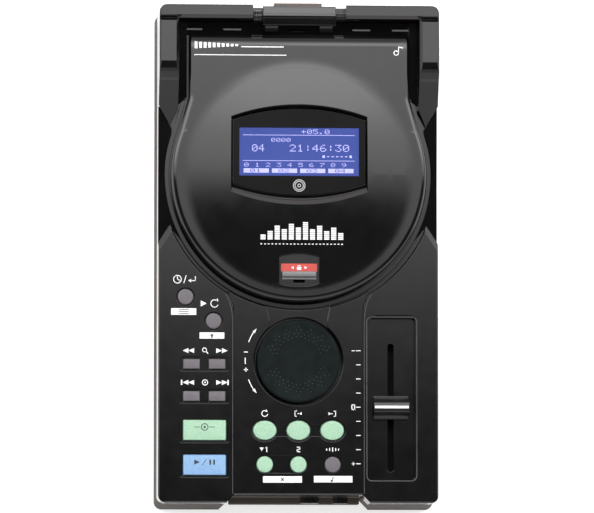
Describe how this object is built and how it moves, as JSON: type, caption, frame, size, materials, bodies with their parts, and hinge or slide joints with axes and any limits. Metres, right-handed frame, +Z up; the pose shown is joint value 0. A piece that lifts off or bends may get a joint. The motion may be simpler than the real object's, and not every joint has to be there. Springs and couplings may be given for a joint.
{
  "type": "tabletop disc player",
  "caption": "Tabletop DJ disc player with a keyhole lid over the disc well, a display in the lid, a bend wheel, a tempo fader and press buttons.",
  "frame": {"origin": "under the middle of the case, on the surface that the feet stand on", "axes": "+X to the right, +Y to the back with the lid hinge, +Z up"},
  "size_m": [0.15, 0.2687, 0.0605],
  "materials": {
    "case_black": "moulded black plastic, satin gloss side walls",
    "deck_black": "moulded black plastic, soft gloss with fine grain",
    "lid_black": "polished black plastic",
    "inner_black": "matt black moulding",
    "stop_brown": "soft brownish grey moulding",
    "window_black": "glossy black printed window",
    "display_blue": "backlit blue display",
    "board_green": "green solder resist",
    "slider_grey": "grey slider bar",
    "marker_red": "red marker strip",
    "steel": "bright steel",
    "rubber_black": "black rubber",
    "lens_glass": "coated lens",
    "gear_white": "natural acetal",
    "brass": "turned brass",
    "fader_black": "black knob plastic",
    "wheel_rubber": "dark grey rubber with small raised dots",
    "key_grey": "warm grey keys",
    "key_green": "pale green translucent keys",
    "key_blue": "pale blue translucent key",
    "jack_white": "white and red socket plastic",
    "jack_orange": "orange socket plastic"
  },
  "bodies": {
    "case": {"bottom_case": "case_black", "top_case": "deck_black", "centre_panel": "deck_black", "rear_hoop": "deck_black", "rear_stop": "stop_brown", "hinge_pins": "case_black", "hinge_spring": "steel", "disc_tray": "inner_black", "chassis": "steel", "dampers": "rubber_black", "spindle_motor": "steel", "guide_rods": "steel", "feed_motor": "steel", "main_board": "board_green", "control_board": "board_green", "fader_body": "steel", "jog_encoder": "inner_black", "level_pot": "steel", "phones_jack": "fader_black", "line_jacks": "jack_white", "digital_jack": "jack_orange", "supply_inlet": "fader_black", "switch_body": "inner_black", "feet": "rubber_black", "screws": "steel"},
    "lid": {"lid_shell": "lid_black", "lid_liner": "inner_black", "display_window": "window_black", "display_panel": "display_blue", "display_board": "board_green"},
    "lock": {"lock_slider": "slider_grey", "lock_marker": "marker_red", "lock_hook": "steel"},
    "spindle": {"spindle_hub": "inner_black"},
    "sled": {"pickup_sled": "inner_black", "pickup_lens": "lens_glass"},
    "feed": {"feed_gear": "gear_white"},
    "motor_gear": {"feed_pinion": "brass"},
    "fader": {"fader_stem": "steel", "fader_cap": "fader_black"},
    "wheel": {"jog_wheel": "wheel_rubber", "jog_shaft": "steel"},
    "level": {"level_knob": "fader_black"},
    "power": {"switch_nub": "key_grey"},
    "time_button": {"time_button": "key_grey"},
    "mode_button": {"mode_button": "key_grey"},
    "search_back": {"search_back": "key_grey"},
    "search_forward": {"search_forward": "key_grey"},
    "skip_back": {"skip_back": "key_grey"},
    "skip_forward": {"skip_forward": "key_grey"},
    "cue_button": {"cue_button": "key_green"},
    "play_button": {"play_button": "key_blue"},
    "loop_button_1": {"loop_button_1": "key_green"},
    "loop_button_2": {"loop_button_2": "key_green"},
    "loop_button_3": {"loop_button_3": "key_green"},
    "hot_button_1": {"hot_button_1": "key_green"},
    "hot_button_2": {"hot_button_2": "key_green"},
    "tempo_button": {"tempo_button": "key_grey"}
  },
  "joints": [
    {"name": "lid_hinge", "type": "hinge", "parent": "case", "child": "lid", "pos_m": [0, 0.1267, 0.054], "axis": [-1, 0, 0], "range_deg": [0, 70]},
    {"name": "lock_slide", "type": "slide", "parent": "lid", "child": "lock", "axis": [0, 1, 0], "range_m": [0, 0.0036], "stiffness_N_per_m": 200, "springref_m": -0.001},
    {"name": "spindle_spin", "type": "hinge", "parent": "case", "child": "spindle", "pos_m": [0, 0.0423, 0.0427], "axis": [0, 0, 1], "continuous": true},
    {"name": "feed_gear_spin", "type": "hinge", "parent": "case", "child": "feed", "pos_m": [0.02402, 0.002, 0.0345], "axis": [0, 0, 1], "range_deg": [0, 306]},
    {"name": "sled_slide", "type": "slide", "parent": "case", "child": "sled", "axis": [0, -1, 0], "range_m": [0, 0.032]},
    {"name": "motor_gear_spin", "type": "hinge", "parent": "case", "child": "motor_gear", "pos_m": [0.03422, -0.01016, 0.0345], "axis": [0, 0, 1], "range_deg": [-978.6, 0]},
    {"name": "fader_slide", "type": "slide", "parent": "case", "child": "fader", "axis": [0, 1, 0], "range_m": [-0.03, 0.03]},
    {"name": "wheel_spin", "type": "hinge", "parent": "case", "child": "wheel", "pos_m": [0, -0.0566, 0.048], "axis": [0, 0, 1], "continuous": true},
    {"name": "level_turn", "type": "hinge", "parent": "case", "child": "level", "pos_m": [0.0079, -0.125, 0.018], "axis": [0, -1, 0], "range_deg": [-140, 140]},
    {"name": "power_slide", "type": "slide", "parent": "case", "child": "power", "axis": [1, 0, 0], "range_m": [0, 0.0045]},
    {"name": "time_button_press", "type": "slide", "parent": "case", "child": "time_button", "axis": [0, 0, -1], "range_m": [0, 0.0008], "stiffness_N_per_m": 600, "springref_m": -0.0004},
    {"name": "mode_button_press", "type": "slide", "parent": "case", "child": "mode_button", "axis": [0, 0, -1], "range_m": [0, 0.0008], "stiffness_N_per_m": 600, "springref_m": -0.0004},
    {"name": "search_back_press", "type": "slide", "parent": "case", "child": "search_back", "axis": [0, 0, -1], "range_m": [0, 0.0008], "stiffness_N_per_m": 600, "springref_m": -0.0004},
    {"name": "search_forward_press", "type": "slide", "parent": "case", "child": "search_forward", "axis": [0, 0, -1], "range_m": [0, 0.0008], "stiffness_N_per_m": 600, "springref_m": -0.0004},
    {"name": "skip_back_press", "type": "slide", "parent": "case", "child": "skip_back", "axis": [0, 0, -1], "range_m": [0, 0.0008], "stiffness_N_per_m": 600, "springref_m": -0.0004},
    {"name": "skip_forward_press", "type": "slide", "parent": "case", "child": "skip_forward", "axis": [0, 0, -1], "range_m": [0, 0.0008], "stiffness_N_per_m": 600, "springref_m": -0.0004},
    {"name": "cue_button_press", "type": "slide", "parent": "case", "child": "cue_button", "axis": [0, 0, -1], "range_m": [0, 0.0008], "stiffness_N_per_m": 600, "springref_m": -0.0004},
    {"name": "play_button_press", "type": "slide", "parent": "case", "child": "play_button", "axis": [0, 0, -1], "range_m": [0, 0.0008], "stiffness_N_per_m": 600, "springref_m": -0.0004},
    {"name": "loop_button_1_press", "type": "slide", "parent": "case", "child": "loop_button_1", "axis": [0, 0, -1], "range_m": [0, 0.0008], "stiffness_N_per_m": 600, "springref_m": -0.0004},
    {"name": "loop_button_2_press", "type": "slide", "parent": "case", "child": "loop_button_2", "axis": [0, 0, -1], "range_m": [0, 0.0008], "stiffness_N_per_m": 600, "springref_m": -0.0004},
    {"name": "loop_button_3_press", "type": "slide", "parent": "case", "child": "loop_button_3", "axis": [0, 0, -1], "range_m": [0, 0.0008], "stiffness_N_per_m": 600, "springref_m": -0.0004},
    {"name": "hot_button_1_press", "type": "slide", "parent": "case", "child": "hot_button_1", "axis": [0, 0, -1], "range_m": [0, 0.0008], "stiffness_N_per_m": 600, "springref_m": -0.0004},
    {"name": "hot_button_2_press", "type": "slide", "parent": "case", "child": "hot_button_2", "axis": [0, 0, -1], "range_m": [0, 0.0008], "stiffness_N_per_m": 600, "springref_m": -0.0004},
    {"name": "tempo_button_press", "type": "slide", "parent": "case", "child": "tempo_button", "axis": [0, 0, -1], "range_m": [0, 0.0008], "stiffness_N_per_m": 600, "springref_m": -0.0004}
  ],
  "couplings": [
    {"joint": "feed_gear_spin", "follows": "sled_slide", "rad_per_m": 166.67},
    {"joint": "motor_gear_spin", "follows": "sled_slide", "rad_per_m": -533.33}
  ]
}
